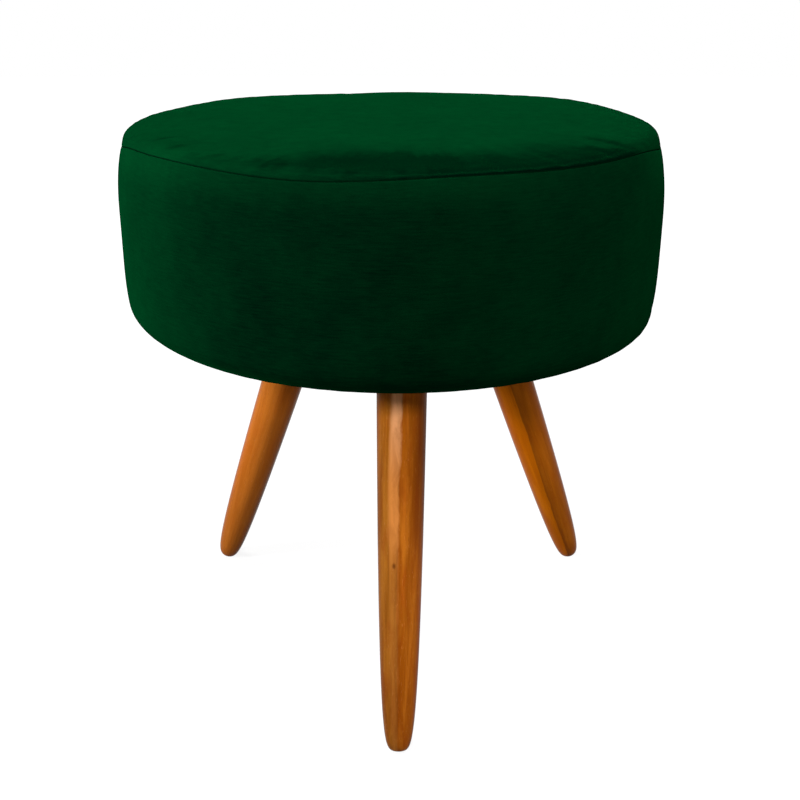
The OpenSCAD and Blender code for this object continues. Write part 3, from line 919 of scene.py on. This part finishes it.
def lean(mesh, inside, az):
    """Lets a leg lean round the drum, from nothing at its tip, while its bore stays on the bolt."""
    x, y, z = inside.T
    bore = (np.hypot(x, y) < BOLT_R * BORE_SLACK) & (z > -BOLT_WOOD_L * BORE_SLACK)
    step = np.where(bore, 0, LEG_LEAN * (1 + z / LEG_L))
    place = points_of(mesh) + step[:, None] * np.array([-math.sin(az), math.cos(az), 0])
    mesh.vertices.foreach_set("co", place.astype(np.float32).ravel())
    mesh.update()


def make_leg(side):
    """A turned leg, with the hole for its bolt, and its tip trimmed level with the floor. Each point
    keeps its place within the leg, for the grain."""
    az = ring(LEG_TURN)
    rings = Rings()
    for r, z in leg_outline():
        rings.add(upright(az, r, z))
    rings.cap(np.array([0, 0, -BOLT_WOOD_L]), 0, True)
    rings.cap(np.array([0, 0, -LEG_L]), -1, False)
    leg = mesh_object("turned_leg_" + side, rings.points, rings.faces)
    mesh = leg.data
    mesh.transform(to_leg(LEG_AZ[side]))
    trim_at_floor(mesh)
    back = to_leg(LEG_AZ[side]).inverted()
    inside = np.array([back @ v.co for v in mesh.vertices], np.float32)
    grain = mesh.attributes.new("grain", "FLOAT_VECTOR", "POINT")
    grain.data.foreach_set("vector", inside.ravel())
    lean(mesh, inside, math.radians(LEG_AZ[side]))
    return leg


def linear(red, green, blue):
    """A colour given as 0 to 255, as a shader takes it."""
    return [(c / 255 / 12.92 if c / 255 <= 0.04045 else ((c / 255 + 0.055) / 1.055) ** 2.4)
            for c in (red, green, blue)] + [1]


class Nodes:
    """Adds nodes to a tree."""

    def __init__(self, tree):
        self.tree = tree

    def put(self, socket, value):
        if isinstance(value, bpy.types.NodeSocket):
            self.tree.links.new(value, socket)
        else:
            socket.default_value = value

    def add(self, kind, inputs=(), output=0, **settings):
        made = self.tree.nodes.new("ShaderNode" + kind)
        for name, value in settings.items():
            setattr(made, name, value)
        for name, value in dict(inputs).items():
            self.put(made.inputs[name], value)
        return made.outputs[output]

    def noise(self, vector, scale, detail, roughness, distortion=0.0):
        return self.add("TexNoise", {"Vector": vector, "Scale": scale, "Detail": detail,
                                     "Roughness": roughness, "Distortion": distortion})

    def stretched(self, vector, x, y, z):
        return self.add("VectorMath", {0: vector, 1: (x, y, z)}, operation="MULTIPLY")

    def math(self, operation, a, b=0.0):
        return self.add("Math", {0: a, 1: b}, operation=operation)

    def step(self, value, low, high, to_low=0.0, to_high=1.0):
        inputs = {"Value": value, "From Min": low, "From Max": high, "To Min": to_low, "To Max": to_high}
        return self.add("MapRange", inputs, interpolation_type="SMOOTHSTEP")

    def mix(self, share, a, b, blend="MIX"):
        made = self.tree.nodes.new("ShaderNodeMix")
        made.data_type = "RGBA"
        made.blend_type = blend
        self.put(made.inputs[0], share)
        self.put(made.inputs[6], a)
        self.put(made.inputs[7], b)
        return made.outputs[2]

    def around(self, noise, depth):
        """Noise about 0, that deep from its low to its high."""
        return self.math("MULTIPLY", self.math("SUBTRACT", noise, 0.5), depth)

    def parts(self, vector):
        """The x, y and z of a vector."""
        made = self.tree.nodes.new("ShaderNodeSeparateXYZ")
        self.put(made.inputs[0], vector)
        return made.outputs

    def seen_directly(self):
        """1 for rays of the camera, of reflections and through glass, and 0 for the rest."""
        path = self.tree.nodes.new("ShaderNodeLightPath")
        shiny = self.math("MAXIMUM", path.outputs["Is Glossy Ray"], path.outputs["Is Transmission Ray"])
        return self.math("MAXIMUM", path.outputs["Is Camera Ray"], shiny)

    def bump(self, height, distance, strength):
        return self.add("Bump", {"Height": height, "Distance": distance, "Strength": strength})


class Shader(Nodes):
    """A material and the nodes that it is made of."""

    def __init__(self, name):
        self.material = bpy.data.materials.new(name)
        self.material.use_nodes = True
        super().__init__(self.material.node_tree)
        self.surface = self.tree.nodes["Principled BSDF"]

    def set(self, **values):
        for name, value in values.items():
            self.put(self.surface.inputs[name.replace("_", " ")], value)


def velvet():
    """Velvet: deep green, with the painted light and shade that its points keep."""
    s = Shader("velvet")
    place = s.add("TexCoord", output=3)
    nap_painted_light_and_shade = s.add("Attribute", output=2, attribute_name="nap_painted_light_and_shade")
    cloud = s.noise(place, 26, 5, 0.72)
    fibres = s.noise(s.stretched(place, 0.3, 0.3, 3.4), 330, 2, 0.6)
    lie = s.math("ADD", nap_painted_light_and_shade, s.around(cloud, CLOUD_DEPTH))
    lie = s.math("ADD", lie, s.around(fibres, FIBRE_DEPTH))
    colour = s.mix(s.add("Clamp", {"Value": lie}), linear(*DEEP_GREEN), linear(*LIGHT_GREEN))
    pile = s.noise(place, 1400, 2, 0.7)
    s.set(Base_Color=colour, Roughness=0.85, Normal=s.bump(pile, 0.0004, 0.35), Specular_IOR_Level=0.0)
    s.set(Sheen_Weight=SHEEN, Sheen_Roughness=0.45, Sheen_Tint=linear(*SHEEN_GREEN))
    return s.material


def seam_shade_velvet():
    """Painted shade in the crease of the seam: dark and without sheen."""
    s = Shader("seam_shade_velvet")
    fibres = s.noise(s.add("TexCoord", output=3), 900, 2, 0.6)
    s.set(Base_Color=s.mix(fibres, linear(0, 22, 10), linear(1, 34, 15)), Roughness=0.9)
    s.set(Specular_IOR_Level=0.0)
    return s.material


def painted_light_halves(s, side, leg, noise, colour):
    """Paints light and shade on the two halves of a leg as tints, with a wavy border and a dark line of
    painted shade along it.
    """
    turn = math.radians(LIGHT_SPLIT_AZ[side] - LEG_AZ[side])
    across = s.add("VectorMath", {0: leg, 1: (math.sin(turn), -math.cos(turn), 0)}, output=1,
                   operation="DOT_PRODUCT")
    for name, reach in LIGHT_SPLIT_WANDER.items():
        across = s.math("ADD", across, s.around(noise[name], reach))
    tint = s.mix(s.step(across, -0.0003, 0.0003), RIGHT_HALF_LIGHT_AND_SHADE[side], LEFT_HALF_LIGHT_AND_SHADE[side])
    colour = s.mix(1.0, colour, tint, "MULTIPLY")
    # Painted shade: a dark line along the border of the halves
    line = s.math("MULTIPLY", s.step(across, -0.0045, -0.0002), s.step(across, -0.0002, 0.0002, 1, 0))
    return s.mix(s.math("MULTIPLY", line, 0.4), colour, linear(96, 42, 4))


def pale_figure_and_highlight(s, leg, noise, colour):
    """A pale stripe down the front of a leg, of figure and painted highlight, which ends at a small
    knot, and beside it a dark band of painted shade.
    """
    x, y, z = s.parts(leg)
    waver = s.math("ADD", s.math("MULTIPLY", noise["layers"], 0.16),
                   s.math("MULTIPLY", noise["curl"], 0.24))
    around = s.math("ADD", s.math("ARCTAN2", y, x), s.math("SUBTRACT", waver, 0.2))
    leaning = s.math("SUBTRACT", around, s.step(z, -0.11, 0, 0, 0.12))
    left, right = (math.radians(a) for a in FIGURE_AND_HIGHLIGHT_AZ)
    # Pale figure and painted highlight: the stripe
    stripe = s.math("MULTIPLY", s.step(leaning, left - 0.10, left + 0.16),
                    s.step(leaning, right - 0.08, right + 0.06, 1, 0))
    stripe = s.math("MULTIPLY", stripe, s.step(z, FIGURE_AND_HIGHLIGHT_END_Z - 0.012, FIGURE_AND_HIGHLIGHT_END_Z + 0.03, 0.2, 1))
    stripe = s.math("MULTIPLY", stripe, s.step(noise["curl"], 0.35, 0.65, 0.95, 0.6))
    pale = s.mix(s.step(z, -0.10, -0.03), linear(232, 148, 74), linear(246, 178, 124))
    colour = s.mix(stripe, colour, pale)
    # Painted shade: the leg's right side darker, in a slanted band
    slanted = s.math("SUBTRACT", around, s.math("MULTIPLY", z, 2.6))
    dark = s.math("MULTIPLY", s.step(slanted, 0.55, 1.0),
                  s.step(z, FIGURE_AND_HIGHLIGHT_END_Z - 0.03, FIGURE_AND_HIGHLIGHT_END_Z + 0.03))
    colour = s.mix(s.math("MULTIPLY", dark, 0.42), colour, linear(140, 62, 22))
    away = s.add("VectorMath", {0: leg, 1: KNOT_PLACE}, operation="SUBTRACT")
    away = s.add("VectorMath", {0: s.stretched(away, 1, 1, 0.6)}, output=1, operation="LENGTH")
    return s.mix(s.step(away, 0.0005, 0.002, 0.75, 0), colour, linear(84, 34, 8))


def lacquered_wood(side, shift):
    """Lacquered hardwood. A leg is turned from a blank, and gets tints of painted light and shade."""
    s = Shader("lacquered_wood_" + side)
    leg = s.add("Attribute", output=1, attribute_name="grain")
    grain = s.add("VectorMath", {0: leg, 1: shift}, operation="ADD")
    noise = {name: s.noise(s.stretched(grain, 1, 1, drawn), *kind)
             for name, (drawn, *kind) in WOOD_NOISE.items()}
    figure = GRAIN[side]
    bands = s.step(noise["layers"], 0.34, 0.66, 0.5 - figure / 2, 0.5 + figure / 2)
    colour = s.mix(bands, linear(138, 72, 6), linear(178, 104, 20))
    for name, low, high, strength, grained, tone in WOOD_TONES:
        share = s.step(noise[name], low, high, 0, strength * figure if grained else strength)
        colour = s.mix(share, colour, linear(*tone))
    # Painted light and shade: tints on the leg's two halves, and one tint over all of the left leg
    if side in LIGHT_SPLIT_AZ:
        colour = painted_light_halves(s, side, leg, noise, colour)
    else:
        colour = s.mix(1.0, colour, LEFT_HALF_LIGHT_AND_SHADE[side], "MULTIPLY")
    if side == "front":
        colour = pale_figure_and_highlight(s, leg, noise, colour)
    foot = s.step(s.parts(leg)[2], -LEG_L, -LEG_L * FOOT_SHARE, 1, 0)
    darker = s.mix(1.0, colour, FOOT_TINT, "MULTIPLY")
    colour = s.mix(s.math("MULTIPLY", foot, 0.5), colour, darker)
    height = s.math("ADD", s.math("MULTIPLY", noise["streaks"], 0.5), noise["layers"])
    s.set(Base_Color=colour, Roughness=0.22, Normal=s.bump(height, 0.0006, 0.12))
    s.set(Specular_IOR_Level=0.02, Specular_Tint=linear(255, 190, 110))
    s.set(Coat_Weight=1.0, Coat_Roughness=0.12, Coat_IOR=LACQUER_IOR, Coat_Tint=LACQUER_TINT)
    return s.material


def bare_wood(name, pale, dark, scale, along):
    """Unfinished wood: pale and dark bands drawn out along one axis."""
    s = Shader(name)
    place = s.add("TexCoord", output=3)
    bands = s.noise(s.stretched(place, *along), scale, 4, 0.6, 0.8)
    fibres = s.noise(s.stretched(place, *along), scale * 9, 2, 0.6)
    colour = s.mix(s.step(bands, 0.35, 0.65), dark, pale)
    colour = s.mix(s.step(fibres, 0.5, 0.8, 0, 0.4), colour, dark)
    s.set(Base_Color=colour, Roughness=0.7, Normal=s.bump(fibres, 0.0004, 0.3))
    s.set(Specular_IOR_Level=0.3)
    return s.material


def foam():
    s = Shader("foam")
    place = s.add("TexCoord", output=3)
    cells = s.add("TexVoronoi", {"Vector": place, "Scale": 900.0})
    tone = s.noise(place, 30, 2, 0.5)
    s.set(Base_Color=s.mix(tone, linear(226, 216, 178), linear(240, 234, 206)), Roughness=0.95)
    s.set(Normal=s.bump(cells, 0.0006, 0.6), Specular_IOR_Level=0.2)
    return s.material


def nonwoven():
    """Black nonwoven with its pattern of bonded spots."""
    s = Shader("nonwoven")
    place = s.add("TexCoord", output=3)
    spots = s.add("TexVoronoi", {"Vector": s.stretched(place, 1, 1, 0), "Scale": 620.0})
    fibres = s.noise(place, 700, 3, 0.7, 1.5)
    colour = s.mix(s.step(fibres, 0.35, 0.7), linear(18, 18, 20), linear(46, 46, 49))
    s.set(Base_Color=colour, Roughness=0.8, Normal=s.bump(s.step(spots, 0.1, 0.5), 0.0003, 0.8))
    s.set(Specular_IOR_Level=0.35)
    return s.material


def metal(name, colour, stain, roughness):
    """Plated or drawn metal: a tint, blotches in the plating, and fine marks."""
    s = Shader(name)
    place = s.add("TexCoord", output=3)
    blotches = s.noise(place, 90, 3, 0.6)
    marks = s.noise(place, 1500, 2, 0.6)
    s.set(Base_Color=s.mix(s.step(blotches, 0.35, 0.7), colour, stain), Metallic=1.0)
    s.set(Roughness=s.step(blotches, 0.3, 0.7, roughness - 0.06, roughness + 0.1))
    s.set(Normal=s.bump(marks, 0.0001, 0.25))
    return s.material


def paint(node, material):
    """Gives a CAD piece its material."""
    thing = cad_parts[node]
    thing.data.materials.clear()
    thing.data.materials.append(material)


def dress(thing, material, slot, *nodes):
    """Gives a new piece its material, and lets it stand for CAD nodes; the slot is not used."""
    thing.data.materials.append(material)
    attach(thing, "root")
    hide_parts(*nodes)


SETTLED = settle_rim()
VELVET = velvet()
# Painted shade for the seam's crease
SEAM_SHADE_VELVET = seam_shade_velvet()
FOAM = foam()
top_panel = make_top_panel()
paint_top_shade_and_light(top_panel.data)
dress(top_panel, VELVET, "velvet", "top_cover")
top_panel.data.materials.append(SEAM_SHADE_VELVET)
side_panel = make_side_panel()
paint_side_light_and_shade(side_panel.data)
dress(side_panel, VELVET, "velvet", "side_band")
side_panel.data.materials.append(SEAM_SHADE_VELVET)
seat_pad = make_seat_pad()
dress(seat_pad, FOAM, "foam", "top_foam")
side_pad = make_side_pad()
dress(side_pad, FOAM, "foam", "side_foam")
dust_sheet = make_dust_sheet()
dress(dust_sheet, nonwoven(), "nonwoven", "dust_cover")
for number, side in enumerate(LEG_AZ):
    wood = lacquered_wood(side, (0.31 * number, 0.17 * number, 0.23 * number))
    dress(make_leg(side), wood, "lacquered_wood", "leg_" + side)

PLY = bare_wood("plywood", linear(212, 176, 126), linear(176, 134, 86), 60, (0.15, 1, 4))
HARDBOARD = bare_wood("hardboard", linear(138, 98, 58), linear(104, 70, 38), 400, (1, 1, 1))
PINE = bare_wood("softwood", linear(222, 188, 134), linear(190, 146, 92), 90, (1, 1, 0.08))
ZINC = metal("zinc_steel", linear(196, 200, 206), linear(160, 166, 172), 0.34)
YELLOW = metal("yellow_steel", linear(206, 184, 112), linear(176, 150, 92), 0.3)
WIRE = metal("staple_wire", linear(200, 203, 208), linear(176, 179, 184), 0.28)
for material, nodes in [
    (PLY, ["seat_board", "base_board"]), (HARDBOARD, ["wall_panel"]),
    (PINE, [f"post_{number}" for number in range(1, 7)]), (YELLOW, ["frame_screws", "hanger_bolts"]),
    (WIRE, ["wall_staples", "hem_staples", "dust_staples"]),
    (ZINC, ["plate_nuts", "plate_screws"] + ["leg_plate_" + side for side in LEG_AZ]),
]:
    for node in nodes:
        paint(node, material)


def make_floor():
    """A white floor that keeps the shadow, and that one can see through from below."""
    h = FLOOR_HALF
    corners = [(-h, -h, 0), (h, -h, 0), (h, h, 0), (-h, h, 0)]
    floor = mesh_object("floor", corners, [(0, 1, 2, 3)], False)
    s = Shader("floor")
    s.set(Base_Color=FLOOR_TONE, Roughness=1.0, Specular_IOR_Level=0.0)
    away = s.add("VectorMath", {0: s.add("TexCoord", output=3)}, output=1, operation="LENGTH")
    level = s.math("MULTIPLY", s.seen_directly(), s.step(away, *GLOW_REACH, *FLOOR_GLOW))
    glow = s.add("Emission", {"Color": (1, 1, 1, 1), "Strength": level})
    both = s.add("AddShader", {0: s.surface.outputs[0], 1: glow})
    clear = s.add("BsdfTransparent")
    sides = s.add("MixShader", {0: s.add("NewGeometry", output=6), 1: both, 2: clear})
    s.put(s.tree.nodes["Material Output"].inputs["Surface"], sides)
    floor.data.materials.append(s.material)


def make_world():
    """White where it is seen directly, and a dim light on the object."""
    world = bpy.data.worlds.new("studio")
    bpy.context.scene.world = world
    world.use_nodes = True
    s = Nodes(world.node_tree)
    light = s.step(s.seen_directly(), 0, 1, AMBIENT, 1)
    s.put(s.tree.nodes["Background"].inputs["Strength"], light)
    s.put(s.tree.nodes["Background"].inputs["Color"], (1, 1, 1, 1))


def make_lamp(name, az, elevation, away, size, level):
    """A square lamp aimed at the object."""
    az, elevation = math.radians(az), math.radians(elevation)
    toward = Vector((math.cos(az) * math.cos(elevation), math.sin(az) * math.cos(elevation),
                     math.sin(elevation)))
    light = bpy.data.lights.new(name, "AREA")
    light.size = size
    light.energy = level * math.pi ** 2 * away ** 2
    lamp = bpy.data.objects.new(name, light)
    bpy.context.scene.collection.objects.link(lamp)
    lamp.location = Vector(LAMP_TARGET) + toward * away
    lamp.rotation_euler = (-toward).to_track_quat("-Z", "Y").to_euler()


def make_camera():
    data = bpy.data.cameras.new("camera")
    data.lens = CAMERA_LENS
    data.sensor_width = CAMERA_SENSOR
    data.shift_x = CAMERA_SHIFT
    data.clip_start = 0.01
    camera = bpy.data.objects.new("camera", data)
    bpy.context.scene.collection.objects.link(camera)
    camera.location = CAMERA_PLACE
    camera.rotation_euler = (math.pi / 2 - CAMERA_PITCH, 0, 0)
    bpy.context.scene.camera = camera


make_floor()
make_world()
make_camera()
for lamp_name, setting in LAMPS.items():
    make_lamp(lamp_name, *setting)
bpy.context.scene.view_settings.view_transform = "Standard"
